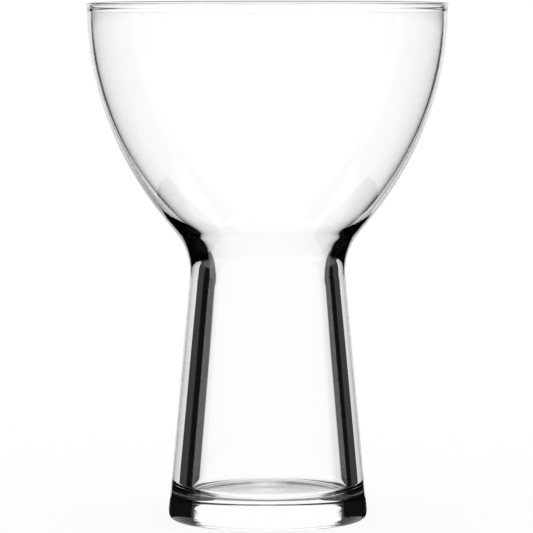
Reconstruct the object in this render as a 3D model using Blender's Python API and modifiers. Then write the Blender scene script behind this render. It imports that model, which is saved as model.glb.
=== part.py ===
# Margarita glass: a wide thin-walled bowl on a thick hollow stem that flares to a solid base.
# It is one moulding of clear glass, made here as the five zones that a glassmaker names.
# Metres, +Z up. The origin is the centre of the base, on the surface that the glass stands on.

from math import acos, asin, atan2, ceil, cos, hypot, pi, radians, sin, sqrt, tan

import bpy

# Outside
STEM_HEIGHT = 0.0744            # standing surface to the narrowest point
BOWL_HEIGHT = 0.0806            # narrowest point to the top of the lip
RIM_DIAMETER = 0.1081           # just under the lip
NECK_DIAMETER = 0.0467          # narrowest point
FOOT_DIAMETER = 0.0603          # where the side would meet the standing surface
NECK_ARC = 0.0183               # hollow between bowl and stem
BOWL_ANGLE = radians(38.3)      # slant of the bowl over the neck, from upright
SLANT_MARGIN = radians(1.0)     # it stays this far under the angle at which bowl and neck rounds touch
FOOT_EDGE = 0.0020              # round between side and underside

# Inside
LIP_WALL = 0.0012               # just under the lip
STEM_WALL = 0.0054              # square to the wall
BOWL_WALL = 0.0021              # square to the wall, where the round of the bowl ends outside
BORE_ARC = 0.0145               # round inside the neck, between bowl and stem
FLOOR_THICKNESS = 0.0080        # standing surface to the floor inside
HEEL_ARC = 0.0024               # round between inner side and floor

# Lip bead
LIP_BULGE = 0.00014             # how far it stands out from the wall outside
LIP_INSET = 0.00006             # and inside

# Underside
RING_WIDTH = 0.0050             # flat ring that the glass stands on
PUNT_DEPTH = 0.0003             # hollow inside that ring

# Seams between the zones
RIM_BAND = 0.0050               # top of the lip to the seam under it
HEEL_BAND = 0.0012              # top of the heel round to the seam over it
SEAM_GAP = 0.0003

# Fineness
TURNS = 72                      # facets round the axis
FACET_DEPTH = 0.00004           # how far a facet may lie inside its arc
FACET_TURN = radians(20.0)      # most that an arc turns at one facet

GLASS_COLOUR = (0.93, 0.95, 0.95, 1.0)
GLASS_ROUGHNESS = 0.03
GLASS_IOR = 1.52

HEIGHT = STEM_HEIGHT + BOWL_HEIGHT
RIM_RADIUS = RIM_DIAMETER / 2
LIP_ARC = (LIP_WALL + LIP_BULGE + LIP_INSET) / 2
LIP_HEIGHT = HEIGHT - LIP_ARC   # centre of the bead, where both walls stand upright
NECK_CENTRE = NECK_DIAMETER / 2 + NECK_ARC, STEM_HEIGHT


class Line:
    """A straight stretch of wall in the (radius, height) plane, known by its outward normal."""

    def __init__(self, normal, point):
        self.normal = normal
        self.reach = normal[0] * point[0] + normal[1] * point[1]

    def offset(self, distance):
        moved = Line(self.normal, (0.0, 0.0))
        moved.reach = self.reach + distance
        return moved

    def meet(self, other):
        (a, b), (c, d) = self.normal, other.normal
        scale = a * d - b * c
        return (self.reach * d - b * other.reach) / scale, (a * other.reach - self.reach * c) / scale


def arc(centre, radius, start, end):
    turn = min(FACET_TURN, 2 * acos(1 - FACET_DEPTH / radius))
    steps = max(2, ceil(abs(end - start) / turn))
    angles = [start + (end - start) * i / steps for i in range(steps + 1)]
    return [(centre[0] + radius * cos(a), centre[1] + radius * sin(a)) for a in angles]


def bowl_round(lip_radius, bend, angle):
    """The round of the bowl, from upright at the lip down to an angle."""
    return arc((lip_radius - bend, LIP_HEIGHT), bend, 0.0, -angle)


def level(height):
    return Line((0.0, 1.0), (0.0, height))


def stem_side():
    """The straight side of the stem, from the foot up to the hollow of the neck, and its taper."""
    across = NECK_CENTRE[0] - FOOT_DIAMETER / 2
    taper = atan2(STEM_HEIGHT, across) + asin(NECK_ARC / hypot(across, STEM_HEIGHT)) - pi / 2
    return Line((cos(taper), sin(taper)), (FOOT_DIAMETER / 2, 0.0)), taper


def slant_angle():
    """Angle of the slant from upright, less where the rounds of bowl and neck would meet too soon."""
    across, down = RIM_RADIUS - NECK_CENTRE[0], LIP_HEIGHT - NECK_CENTRE[1]
    touching = (across ** 2 + down ** 2 - NECK_ARC ** 2) / (2 * (across + NECK_ARC))
    return min(BOWL_ANGLE, asin(down / (touching + NECK_ARC)) - SLANT_MARGIN)


def outer_bend():
    """Radius of the round of the bowl outside, which runs into the slant."""
    angle = slant_angle()
    slant = Line((cos(angle), -sin(angle)), NECK_CENTRE).offset(-NECK_ARC)
    corner = slant.meet(Line((1.0, 0.0), (RIM_RADIUS, 0.0)))
    return (LIP_HEIGHT - corner[1]) / tan(angle / 2)


def inner_bend():
    """Radius of the round of the bowl inside, which leaves both walls their thickness."""
    reach = outer_bend() - BOWL_WALL
    across = outer_bend() - LIP_WALL - reach * cos(slant_angle())
    down = reach * sin(slant_angle())
    return (across ** 2 + down ** 2) / (2 * across)


def outside():
    """Outer side, from the lip down to the bearing ring."""
    stem, taper = stem_side()
    angle = slant_angle()
    edge = stem.offset(-FOOT_EDGE).meet(level(FOOT_EDGE))
    side = bowl_round(RIM_RADIUS, outer_bend(), angle) + arc(NECK_CENTRE, NECK_ARC, pi - angle, pi + taper)
    return side + arc(edge, FOOT_EDGE, taper, -pi / 2)


def inside():
    """Inner side, from the lip down to the floor. The round of the neck touches bowl and bore."""
    stem, taper = stem_side()
    bore = stem.offset(-STEM_WALL)
    bend = inner_bend()
    bowl = RIM_RADIUS - LIP_WALL - bend, LIP_HEIGHT
    across = bore.reach + BORE_ARC - bowl[0] * cos(taper) - bowl[1] * sin(taper)
    down = sqrt((bend + BORE_ARC) ** 2 - across ** 2)
    neck = bowl[0] + across * cos(taper) + down * sin(taper), bowl[1] + across * sin(taper) - down * cos(taper)
    angle = asin((bowl[1] - neck[1]) / (bend + BORE_ARC))
    heel = bore.offset(-HEEL_ARC).meet(level(FLOOR_THICKNESS + HEEL_ARC))
    side = bowl_round(bowl[0] + bend, bend, angle)[:-1] + arc(neck, BORE_ARC, pi - angle, pi + taper)
    return side + arc(heel, HEEL_ARC, taper, -pi / 2)


def lip():
    """Bead, from its outer foot over the top to its inner foot."""
    centre = RIM_RADIUS + LIP_BULGE - LIP_ARC, LIP_HEIGHT
    outer_foot = -acos((RIM_RADIUS - centre[0]) / LIP_ARC)
    inner_foot = acos((RIM_RADIUS - LIP_WALL - centre[0]) / LIP_ARC)
    return arc(centre, LIP_ARC, outer_foot, pi / 2) + arc(centre, LIP_ARC, pi / 2, 2 * pi - inner_foot)[1:]


def underside(ring_outer):
    """From the bearing ring in to the axis, over a shallow hollow."""
    ring_inner = ring_outer - RING_WIDTH
    dome = (ring_inner ** 2 + PUNT_DEPTH ** 2) / (2 * PUNT_DEPTH)
    return arc((0.0, PUNT_DEPTH - dome), dome, acos(ring_inner / dome), pi / 2)


def between(points, top, bottom):
    """The stretch of a falling outline between two heights, cut square at both."""
    def at(height):
        for (r1, z1), (r2, z2) in zip(points, points[1:]):
            if z1 >= height >= z2 and z1 > z2:
                return r1 + (r2 - r1) * (z1 - height) / (z1 - z2), height

    return [at(top)] + [p for p in points if bottom < p[1] < top] + [at(bottom)]


def glass():
    material = bpy.data.materials.new("clear_glass")
    material.use_nodes = True
    shader = material.node_tree.nodes["Principled BSDF"]
    shader.inputs["Base Color"].default_value = GLASS_COLOUR
    shader.inputs["Roughness"].default_value = GLASS_ROUGHNESS
    shader.inputs["IOR"].default_value = GLASS_IOR
    shader.inputs["Transmission Weight"].default_value = 1.0
    return material


def turned(name, profile, closed, parent, material, collection):
    """A profile of (radius, height) points, turned about the axis."""
    mesh = bpy.data.meshes.new(name)
    edges = [(i, i + 1) for i in range(len(profile) - 1)]
    if closed:
        edges.append((len(profile) - 1, 0))
    mesh.from_pydata([(r, 0.0, z) for r, z in profile], edges, [])
    mesh.materials.append(material)
    piece = bpy.data.objects.new(name, mesh)
    piece.parent = parent
    collection.objects.link(piece)
    screw = piece.modifiers.new("turn", "SCREW")
    screw.steps = screw.render_steps = TURNS
    screw.use_merge_vertices = True
    screw.merge_threshold = 1e-6
    screw.use_smooth_shade = True
    return piece


def main():
    for old in list(bpy.data.objects):
        bpy.data.objects.remove(old, do_unlink=True)
    collection = bpy.data.collections.new("margarita_glass")
    bpy.context.scene.collection.children.link(collection)
    stand = bpy.data.objects.new("standing_point", None)
    collection.objects.link(stand)
    material = glass()

    outer, inner, bead = outside(), inside(), lip()
    _, taper = stem_side()
    rim_seam = HEIGHT - RIM_BAND
    shoulder_seam = STEM_HEIGHT + NECK_ARC * sin(slant_angle())
    stem_seam = STEM_HEIGHT - NECK_ARC * sin(taper)
    heel_seam = FLOOR_THICKNESS + HEEL_ARC * (1 + sin(taper)) + HEEL_BAND

    def ring(name, top, bottom):
        wall = between(outer, top, bottom) + between(inner, top, bottom)[::-1]
        turned(name, wall, True, stand, material, collection)

    outer_stub = between(outer, bead[0][1], rim_seam)[1:]
    inner_stub = between(inner, bead[-1][1], rim_seam)[1:]
    rim = outer_stub + inner_stub[::-1] + bead[::-1]
    turned("rim", rim, True, stand, material, collection)
    ring("bowl", rim_seam - SEAM_GAP, shoulder_seam)
    ring("neck", shoulder_seam - SEAM_GAP, stem_seam)
    ring("stem", stem_seam - SEAM_GAP, heel_seam)
    top = heel_seam - SEAM_GAP
    side = between(outer, top, outer[-1][1])
    floor = between(inner, top, inner[-1][1])
    base = [(0.0, FLOOR_THICKNESS)] + floor[::-1] + side + underside(outer[-1][0])
    turned("base", base, False, stand, material, collection)


main()
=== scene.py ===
from math import acos, asin, atan2, cos, hypot, pi, radians, sin, tan

import bpy
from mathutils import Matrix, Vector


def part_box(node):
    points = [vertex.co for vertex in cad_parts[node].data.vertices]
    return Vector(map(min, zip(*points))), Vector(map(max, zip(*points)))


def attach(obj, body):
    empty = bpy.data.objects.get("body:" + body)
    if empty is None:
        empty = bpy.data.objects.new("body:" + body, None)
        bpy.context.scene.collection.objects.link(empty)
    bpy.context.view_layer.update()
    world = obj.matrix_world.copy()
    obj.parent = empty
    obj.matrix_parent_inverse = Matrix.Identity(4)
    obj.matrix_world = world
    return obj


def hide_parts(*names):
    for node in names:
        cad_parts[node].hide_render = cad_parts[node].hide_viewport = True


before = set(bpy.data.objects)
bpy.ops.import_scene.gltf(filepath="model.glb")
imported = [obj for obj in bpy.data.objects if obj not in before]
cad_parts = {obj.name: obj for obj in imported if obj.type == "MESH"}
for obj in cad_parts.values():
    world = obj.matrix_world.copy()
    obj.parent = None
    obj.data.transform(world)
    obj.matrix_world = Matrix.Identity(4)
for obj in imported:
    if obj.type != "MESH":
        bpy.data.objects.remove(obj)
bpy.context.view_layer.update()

scene = bpy.context.scene
scene.view_settings.view_transform = "Standard"
scene.cycles.max_bounces = 32            # light turns many times inside thick glass
scene.cycles.transmission_bounces = 24
scene.cycles.glossy_bounces = 20         # with more, light trapped in the neck would mottle its black
print("frame loaded:", ", ".join(sorted(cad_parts)))


class Wire:
    # a socket that can stand in a Python expression
    tree = None

    def __init__(self, socket):
        self.socket = socket

    @classmethod
    def add(cls, nodeType, settings=None, inputs=None, output=0):
        node = cls.tree.nodes.new(nodeType)
        for name, value in (settings or {}).items():
            setattr(node, name, value)
        for name, value in (inputs or {}).items():
            if isinstance(value, Wire):
                value.into(node.inputs[name])
            else:
                node.inputs[name].default_value = value
        return cls(node.outputs[output])

    @classmethod
    def maths(cls, operation, *values):
        return cls.add("ShaderNodeMath", {"operation": operation}, dict(enumerate(values)))

    def into(self, socket):
        Wire.tree.links.new(self.socket, socket)

    def __add__(self, other):
        return Wire.maths("ADD", self, other)

    def __radd__(self, other):
        return Wire.maths("ADD", other, self)

    def __sub__(self, other):
        return Wire.maths("SUBTRACT", self, other)

    def __rsub__(self, other):
        return Wire.maths("SUBTRACT", other, self)

    def __mul__(self, other):
        return Wire.maths("MULTIPLY", self, other)

    def __rmul__(self, other):
        return Wire.maths("MULTIPLY", other, self)

    def __gt__(self, other):
        return Wire.maths("GREATER_THAN", self, other)

    def fade(self, low, high):
        # 0 below low, 1 above high, smooth between
        ends = {"Value": self, "From Min": low, "From Max": high}
        return Wire.add("ShaderNodeMapRange", {"interpolation_type": "SMOOTHSTEP"}, ends)


def largest(*wires):
    most = wires[0]
    for wire in wires[1:]:
        most = Wire.maths("MAXIMUM", most, wire)
    return most


# camera, fitted to the outline of the glass in the photograph
cameraSet = {
    "azimuth": radians(225.0),
    "distance": 0.998,       # from the axis of the glass
    "height": 0.1633,
    "pitch": 0.0875,
    "roll": -0.0009,
    "lens": 225.0,
    "sensor": 36.0,
    "shift": -0.0021,
    "near": 0.01,
}


def addCamera(size):
    turn = size["azimuth"]
    place = (size["distance"] * sin(turn), -size["distance"] * cos(turn), size["height"])
    bpy.ops.object.camera_add(location=place, rotation=(pi / 2 - size["pitch"], 0, turn))
    camera = bpy.context.object
    camera.rotation_euler.rotate_axis("Z", size["roll"])
    camera.data.lens = size["lens"]
    camera.data.sensor_width = size["sensor"]
    camera.data.shift_x = size["shift"]
    camera.data.clip_start = size["near"]
    scene.camera = camera


addCamera(cameraSet)
print("camera set")

# the glass itself, one moulding, so it is turned as one piece
glassSet = {
    "stemHeight": 0.0744,    # up to the narrowest point
    "neckRadius": 0.02335,
    "footRadius": 0.03015,   # where the side would meet the table
    "neckArc": 0.0183,
    "bowlAngle": radians(38.3),
    "footRise": 0.0026,      # round between side and underside
    "footInset": 0.0010,
    "footEase": (0.55, 0.55),
    "lipWall": 0.0012,
    "lipArc": 0.0008,        # bead of the lip
    "lipBulge": 0.00028,
    "boreRadius": 0.01798,   # at the narrowest point
    "boreTaper": radians(4.97),
    "bowlBend": 0.0933,      # round of the bowl inside
    "throatAngle": radians(44.7),
    "throatDown": 0.0094,    # reach of the throat down the bore
    "throatEase": (0.74, 0.72),
    "boreShift": 0.00036,    # the bore stands a little off centre
    "boreShiftReach": 0.05,  # the shift fades out over this length of wall
    "boreGrip": 0.0001,      # points this near to the bore are slid with it
    "floor": 0.0080,
    "heelArc": 0.0024,
    "ringWidth": 0.0060,     # flat ring that the glass stands on
    "puntDepth": 0.0003,     # hollow inside the ring
    "weld": 0.000002,
    "steps": {               # facets along each stretch of the outline, and round the axis
        "floor": 16, "heel": 24, "bore": 24, "throat": 48, "bowlInside": 56, "bead": 36, "bowlOutside": 48,
        "slant": 2, "neck": 40, "stem": 24, "footEdge": 20, "ring": 4, "punt": 16, "round": 256,
    },
}


def drawLine(pen, r, z, steps):
    step = ((r - pen["r"]) / steps, 0, (z - pen["z"]) / steps)
    for _ in range(steps):
        bpy.ops.mesh.extrude_region_move(TRANSFORM_OT_translate={"value": step})
    pen.update(r=r, z=z)


def drawArc(pen, centre, start, end, steps):
    # the pen already stands at the start of the arc
    radius = hypot(pen["r"] - centre[0], pen["z"] - centre[1])
    bpy.ops.mesh.spin(steps=steps, angle=end - start, center=(centre[0], 0, centre[1]), axis=(0, 1, 0))
    pen.update(r=centre[0] + radius * cos(end), z=centre[1] + radius * sin(end))


def drawCurve(pen, corner, end, ease, steps):
    # leaves along the line to the corner and arrives along the line from it
    knots = [(pen["r"], pen["z"])]
    knots.append(tuple(a + ease[0] * (c - a) for a, c in zip(knots[0], corner)))
    knots.append(tuple(b + ease[1] * (c - b) for b, c in zip(end, corner)))
    knots.append(end)
    for step in range(1, steps + 1):
        t = step / steps
        weights = (1 - t) ** 3, 3 * t * (1 - t) ** 2, 3 * t * t * (1 - t), t ** 3
        drawLine(pen, *(sum(w * knot[axis] for w, knot in zip(weights, knots)) for axis in (0, 1)), 1)


def onArc(centre, radius, angle):
    return centre[0] + radius * cos(angle), centre[1] + radius * sin(angle)


def bowlArc(lipRadius, lipHeight, slant, angle):
    # upright at the lip, and touching the slant that rises from the given point
    cornerZ = slant[1] + (lipRadius - slant[0]) / tan(angle)
    radius = (lipHeight - cornerZ) / tan(angle / 2)
    return (lipRadius - radius, lipHeight), radius


def startPoint(name):
    # a single point at the origin, selected in edit mode
    bpy.ops.object.select_all(action="DESELECT")
    bpy.ops.mesh.primitive_plane_add(size=0.001, location=(0, 0, 0))
    piece = bpy.context.object
    piece.name = name
    bpy.ops.object.mode_set(mode="EDIT")
    bpy.ops.mesh.merge(type="CENTER")
    return piece


def makeGlass(size, view):
    steps = size["steps"]
    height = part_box("rim")[1].z
    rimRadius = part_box("rim")[1].x - size["lipBulge"]
    lipHeight = height - size["lipArc"]
    neck = size["neckRadius"] + size["neckArc"], size["stemHeight"]
    across = neck[0] - size["footRadius"]
    taper = atan2(neck[1], across) + asin(size["neckArc"] / hypot(across, neck[1])) - pi / 2
    boreTaper = size["boreTaper"]

    def boreAt(z):
        return size["boreRadius"] + (size["stemHeight"] - z) * tan(boreTaper)

    # inside, where the slant of the bowl would meet the bore, and the heel over the floor
    lean = size["throatAngle"]
    inner = rimRadius - size["lipWall"] - size["bowlBend"], lipHeight
    bowlFoot = onArc(inner, size["bowlBend"], -lean)
    slant = (bowlFoot[0] - boreAt(bowlFoot[1])) / (sin(lean) + cos(lean) * tan(boreTaper))
    throat = bowlFoot[0] - slant * sin(lean), bowlFoot[1] - slant * cos(lean)
    boreTop = throat[0] + size["throatDown"] * sin(boreTaper), throat[1] - size["throatDown"] * cos(boreTaper)
    heelZ = size["floor"] + size["heelArc"]
    heel = boreAt(heelZ) - size["heelArc"] / cos(boreTaper), heelZ

    # outside, with the foot and the bead of the lip
    footSide = size["footRadius"] - size["footRise"] * tan(taper), size["footRise"]
    footEnd = size["footRadius"] - size["footInset"], 0.0
    ringInner = footEnd[0] - size["ringWidth"]
    dome = (ringInner ** 2 + size["puntDepth"] ** 2) / (2 * size["puntDepth"])
    outerFoot = onArc(neck, size["neckArc"], pi - size["bowlAngle"])
    outer, outerArc = bowlArc(rimRadius, lipHeight, outerFoot, size["bowlAngle"])
    bead = rimRadius + size["lipBulge"] - size["lipArc"], lipHeight
    beadIn = 2 * pi - acos((rimRadius - size["lipWall"] - bead[0]) / size["lipArc"])
    beadOut = -acos((rimRadius - bead[0]) / size["lipArc"])
    innerTop = asin((onArc(bead, size["lipArc"], beadIn)[1] - lipHeight) / size["bowlBend"])
    outerTop = asin((onArc(bead, size["lipArc"], beadOut)[1] - lipHeight) / outerArc)

    # outline from the middle of the floor up the inside, over the lip and down to the underside
    glass = startPoint("glass")
    pen = {"r": 0.0, "z": size["floor"]}
    bpy.ops.transform.translate(value=(0, 0, size["floor"]))
    drawLine(pen, heel[0], size["floor"], steps["floor"])
    drawArc(pen, heel, -pi / 2, boreTaper, steps["heel"])
    drawLine(pen, *boreTop, steps["bore"])
    drawCurve(pen, throat, bowlFoot, size["throatEase"], steps["throat"])
    drawArc(pen, inner, -lean, innerTop, steps["bowlInside"])
    drawLine(pen, *onArc(bead, size["lipArc"], beadIn), 1)
    drawArc(pen, bead, beadIn, beadOut, steps["bead"])
    drawLine(pen, *onArc(outer, outerArc, outerTop), 1)
    drawArc(pen, outer, outerTop, -size["bowlAngle"], steps["bowlOutside"])
    drawLine(pen, *outerFoot, steps["slant"])
    drawArc(pen, neck, pi - size["bowlAngle"], pi + taper, steps["neck"])
    drawLine(pen, *footSide, steps["stem"])
    drawCurve(pen, (size["footRadius"], 0.0), footEnd, size["footEase"], steps["footEdge"])
    drawLine(pen, ringInner, 0.0, steps["ring"])
    drawArc(pen, (0.0, size["puntDepth"] - dome), acos(ringInner / dome), pi / 2, steps["punt"])
    bpy.ops.mesh.select_all(action="SELECT")
    bpy.ops.mesh.spin(steps=steps["round"], angle=2 * pi, center=(0, 0, 0), axis=(0, 0, 1))
    bpy.ops.mesh.select_all(action="SELECT")
    bpy.ops.mesh.remove_doubles(threshold=size["weld"])
    bpy.ops.mesh.normals_make_consistent(inside=False)
    bpy.ops.mesh.select_all(action="DESELECT")
    bpy.ops.object.mode_set(mode="OBJECT")

    # slide the bore sideways, fading out up the bowl
    for vertex in glass.data.vertices:
        x, y, z = vertex.co
        inBore = hypot(x, y) < boreAt(z) + size["boreGrip"]
        vertex.select = inBore and size["floor"] - size["boreGrip"] < z < boreTop[1]
    bpy.ops.object.mode_set(mode="EDIT")
    turn = view["azimuth"]
    shift = size["boreShift"] * cos(turn), size["boreShift"] * sin(turn), 0
    bpy.ops.transform.translate(value=shift, use_proportional_edit=True, use_proportional_connected=True,
                                proportional_edit_falloff="SMOOTH", proportional_size=size["boreShiftReach"])
    bpy.ops.object.mode_set(mode="OBJECT")
    bpy.ops.object.shade_smooth()
    return glass


glass = makeGlass(glassSet, cameraSet)
print("glass turned:", len(glass.data.polygons), "faces")

# surface of the glass, with each height and radius from where a mark begins to fade to where it ends
surfaceSet = {
    "ior": 1.52,
    "waveScale": 35.0,               # slight waves from the mould, all over
    "waveDepth": 0.000004,
    "dotScale": 900.0,               # plain stipple under the base
    "dotDepth": 0.00002,
    "dotHeight": (0.0004, 0.0007),
    "dotRadius": (0.0205, 0.0225),
    "wornHeight": (0.0001, 0.0004),  # the ring that the glass stands on is dulled by use
    "wornRadius": (0.0255, 0.0275),
    "wornRough": 0.08,
    "scuffScale": 300.0,
    "scuffLeast": 0.8,
    "scuffSpread": 0.4,
}


def clearGlass(size):
    material = bpy.data.materials.new("clearGlass")
    material.use_nodes = True
    Wire.tree = material.node_tree
    place = Wire.add("ShaderNodeTexCoord", output="Object")
    flat = Wire.add("ShaderNodeVectorMath", {"operation": "MULTIPLY"}, {0: place, 1: (1, 1, 0)})
    radius = Wire.add("ShaderNodeVectorMath", {"operation": "LENGTH"}, {0: flat}, "Value")
    height = Wire.add("ShaderNodeSeparateXYZ", inputs={0: place}, output="Z")

    waveSize = {"Vector": place, "Scale": size["waveScale"], "Detail": 1.0}
    waves = Wire.add("ShaderNodeTexNoise", inputs=waveSize)
    dots = Wire.add("ShaderNodeTexVoronoi", inputs={"Vector": place, "Scale": size["dotScale"]})
    under = (1 - height.fade(*size["dotHeight"])) * (1 - radius.fade(*size["dotRadius"]))
    relief = waves * size["waveDepth"] + dots * under * size["dotDepth"]
    bump = Wire.add("ShaderNodeBump", inputs={"Strength": 1.0, "Distance": 1.0, "Height": relief})

    scuffSize = {"Vector": place, "Scale": size["scuffScale"], "Detail": 4.0}
    scuffs = Wire.add("ShaderNodeTexNoise", inputs=scuffSize)
    worn = (1 - height.fade(*size["wornHeight"])) * radius.fade(*size["wornRadius"])
    rough = worn * (scuffs * size["scuffSpread"] + size["scuffLeast"]) * size["wornRough"]

    shader = material.node_tree.nodes["Principled BSDF"]
    shader.inputs["Base Color"].default_value = (1, 1, 1, 1)
    shader.inputs["IOR"].default_value = size["ior"]
    shader.inputs["Transmission Weight"].default_value = 1.0
    rough.into(shader.inputs["Roughness"])
    bump.into(shader.inputs["Normal"])
    return material


glass.data.materials.append(clearGlass(surfaceSet))
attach(glass, "root")
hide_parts("rim", "bowl", "neck", "stem", "base")
print("glass dressed")


def mattPaint(name, grey):
    material = bpy.data.materials.new(name)
    material.use_nodes = True
    shader = material.node_tree.nodes["Principled BSDF"]
    shader.inputs["Base Color"].default_value = (grey, grey, grey, 1)
    shader.inputs["Roughness"].default_value = 1.0
    shader.inputs["Specular IOR Level"].default_value = 0.0
    return material


# floor, white to the camera, with a part of the shadow left
floorSet = {"radius": 6.0, "sides": 96, "drop": 0.00005, "grey": 1.0, "shadow": 0.15}


def makeFloor(size):
    bpy.ops.object.select_all(action="DESELECT")
    bpy.ops.mesh.primitive_circle_add(vertices=size["sides"], radius=size["radius"], fill_type="NGON",
                                      location=(0, 0, -size["drop"]))
    floor = bpy.context.object
    floor.name = "floor"
    floor.visible_transmission = False
    floor.visible_glossy = False
    material = mattPaint("whiteFloor", size["grey"])
    nodes = material.node_tree.nodes
    Wire.tree = material.node_tree
    paint = Wire(nodes["Principled BSDF"].outputs[0])
    lit = Wire.add("ShaderNodeEmission", inputs={"Color": (1, 1, 1, 1), "Strength": 1.0})
    share = Wire.add("ShaderNodeLightPath", output="Is Camera Ray") * (1 - size["shadow"])
    both = Wire.add("ShaderNodeMixShader", inputs={0: share, 1: paint, 2: lit})
    both.into(nodes["Material Output"].inputs["Surface"])
    floor.data.materials.append(material)


makeFloor(floorSet)
print("floor laid")

# black cards close by the stem at both sides, which only the skin of the glass mirrors
cardSet = {
    "points": [(0.029, 0.0), (0.068, 0.0), (0.068, 0.0728)],   # radius and height, from the foot outwards
    "start": 45.0,           # degrees from the view through the camera
    "span": 55.0,
    "steps": 48,
    "grey": 0.006,
}


def makeCard(name, start, size, view, material):
    points = size["points"]
    turn = view["azimuth"] + pi / 2 - radians(start)
    card = startPoint(name)
    bpy.ops.transform.translate(value=(points[0][0] * cos(turn), points[0][0] * sin(turn), points[0][1]))
    for (r1, z1), (r2, z2) in zip(points, points[1:]):
        step = (r2 - r1) * cos(turn), (r2 - r1) * sin(turn), z2 - z1
        bpy.ops.mesh.extrude_region_move(TRANSFORM_OT_translate={"value": step})
    bpy.ops.mesh.select_all(action="SELECT")
    bpy.ops.mesh.spin(steps=size["steps"], angle=radians(size["span"]), center=(0, 0, 0), axis=(0, 0, 1))
    bpy.ops.object.mode_set(mode="OBJECT")
    for sight in ("camera", "diffuse", "transmission", "shadow"):
        setattr(card, "visible_" + sight, False)
    card.data.materials.append(material)


black = mattPaint("blackPaper", cardSet["grey"])
makeCard("cardRight", cardSet["start"], cardSet, cameraSet, black)
makeCard("cardLeft", -cardSet["start"] - cardSet["span"], cardSet, cameraSet, black)
print("cards set up")

# what the glass shows of the studio, in degrees of rise and degrees to the side of the view ahead
# a pair is where an edge begins to fade and where it ends
studioSet = {
    "paper": 1.04,                   # white paper behind the glass
    "paperHalf": 22.8,
    "paperEdge": 1.2,
    "paperFlare": 0.9,               # it widens upwards, from its low end over its rise
    "paperLow": -5.2,
    "paperRise": 15.5,
    "paperFarTop": (16, 22),         # its top edge, through both walls
    "paperSkinTop": (8, 14),         # its top edge, off the skin
    "paperTurnedLow": (-31, -27),    # its low edge, turned in the wall
    "card": 0.006,                   # black cards at both sides, grey beside the paper
    "cardGrey": 0.05,
    "cardGreyEnd": (41, 46),
    "cardGreyTop": (0, 4),
    "cardTop": (22, 30),
    "cardEnd": (97, 103),
    "tallStart": (38, 46),           # the part of the cards that has no light over it
    "tallEnd": (80, 88),
    "room": 0.9,                     # lit room behind the camera
    "roomTurned": (80, 88),
    "roomSkin": (90, 96),
    "roomFar": (-6, 0),
    "table": (-48, -40),             # white table top close by
    "tableSide": (30, 40),
    "tableFoot": (-74, -64),
    "glowTop": (-4, -1),             # white table top outside the cards
    "glowSide": (29, 34),
    "steep": 0.12,                   # its share turned in the wall
    "steepTop": (-27, -24),
    "steepSide": (26, 30),
    "dim": 0.75,                     # shade on the table behind the foot and under the far rim
    "dimLow": (-12, -9),
    "dimTop": (-8, -4),
    "dimFoot": (-34, -30),
    "skylight": (73, 79),
}


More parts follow.
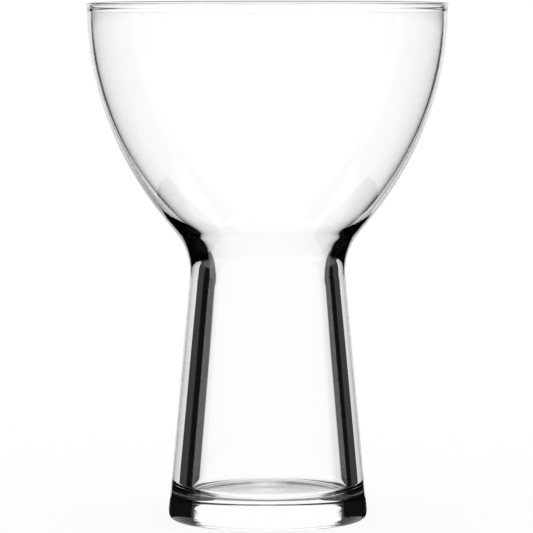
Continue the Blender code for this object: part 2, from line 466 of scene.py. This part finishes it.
def makeStudio(light, view):
    world = bpy.data.worlds.new("studio")
    scene.world = world
    world.use_nodes = True
    world.cycles.sampling_method = "NONE"
    Wire.tree = world.node_tree
    turn = view["azimuth"]
    ray = Wire.add("ShaderNodeTexCoord", output="Generated")
    ahead, right = (-sin(turn), cos(turn), 0), (cos(turn), sin(turn), 0)
    along = Wire.add("ShaderNodeVectorMath", {"operation": "DOT_PRODUCT"}, {0: ray, 1: ahead}, "Value")
    across = Wire.add("ShaderNodeVectorMath", {"operation": "DOT_PRODUCT"}, {0: ray, 1: right}, "Value")
    up = Wire.add("ShaderNodeSeparateXYZ", inputs={0: ray}, output="Z")
    off = Wire.maths("ABSOLUTE", Wire.maths("ARCTAN2", across, along) * (180 / pi))
    rise = Wire.maths("ARCSINE", up) * (180 / pi)

    # how often the light was thrown back and how many skins it passed, in whole counts
    path = Wire.add("ShaderNodeLightPath").socket.node
    turns, passes = Wire(path.outputs["Glossy Depth"]), Wire(path.outputs["Transmission Depth"])
    once, twice, often = turns > 0.5, turns > 1.5, turns > 2.5
    entered, farWall = passes > 0.5, passes > 2.5

    # the things in the studio
    flare = Wire.maths("MINIMUM", largest(rise - light["paperLow"], 0), light["paperRise"])
    half = light["paperHalf"] + light["paperFlare"] * flare
    paper = (1 - (off - half).fade(-light["paperEdge"], light["paperEdge"])) * light["paper"]
    tall = off.fade(*light["tallStart"]) - off.fade(*light["tallEnd"])
    overhead = rise.fade(*light["cardTop"]) * (1 - tall)
    grey = (1 - off.fade(*light["cardGreyEnd"])) * (1 - rise.fade(*light["cardGreyTop"]))
    card = grey * light["cardGrey"] + light["card"]
    table = 1 - rise.fade(*light["table"])
    glow = 1 - rise.fade(*light["glowTop"])

    # light straight through the glass
    farPaper = paper * (1 - rise.fade(*light["paperFarTop"]) * farWall)
    straight = largest(farPaper, overhead * (1 - farWall), card, table, off.fade(*light["cardEnd"]))
    shade = rise.fade(*light["dimLow"]) - rise.fade(*light["dimTop"]) + 1 - rise.fade(*light["dimFoot"])
    straight = straight * (1 - (1 - farWall) * shade * light["dim"])

    # light off the skin
    skinPaper = paper * (1 - rise.fade(*light["paperSkinTop"]))
    skinGlow = glow * off.fade(*light["glowSide"])
    mirrored = largest(skinPaper, skinGlow, off.fade(*light["roomSkin"]), table, card)

    # light turned once or twice in the near wall, or on its way through both walls
    turnedPaper = paper * rise.fade(*light["paperTurnedLow"])
    steep = (1 - rise.fade(*light["steepTop"])) * off.fade(*light["steepSide"]) * light["steep"]
    under = table * largest(off.fade(*light["tableSide"]), 1 - rise.fade(*light["tableFoot"])) * light["room"]
    room = off.fade(*light["roomTurned"]) * light["room"] * (1 - twice)
    turned = largest(turnedPaper, overhead, card, glow * steep, under, room)
    turnedFar = (rise.fade(*light["roomFar"]) + 1) * (light["room"] / 2)   # half as bright low down

    # light trapped in the wall
    trapped = largest(rise.fade(*light["skylight"]) * (1 - tall), light["card"])

    reflected = mirrored * (1 - entered) + turned * (entered - farWall) + turnedFar * farWall
    seen = straight * (1 - once) + reflected * (once - often) + trapped * often
    plain = largest(Wire(path.outputs["Is Camera Ray"]), Wire(path.outputs["Is Diffuse Ray"]))
    back = world.node_tree.nodes["Background"]
    back.inputs["Color"].default_value = (1, 1, 1, 1)
    (plain + (1 - plain) * seen).into(back.inputs["Strength"])


makeStudio(studioSet, cameraSet)
print("studio lit")
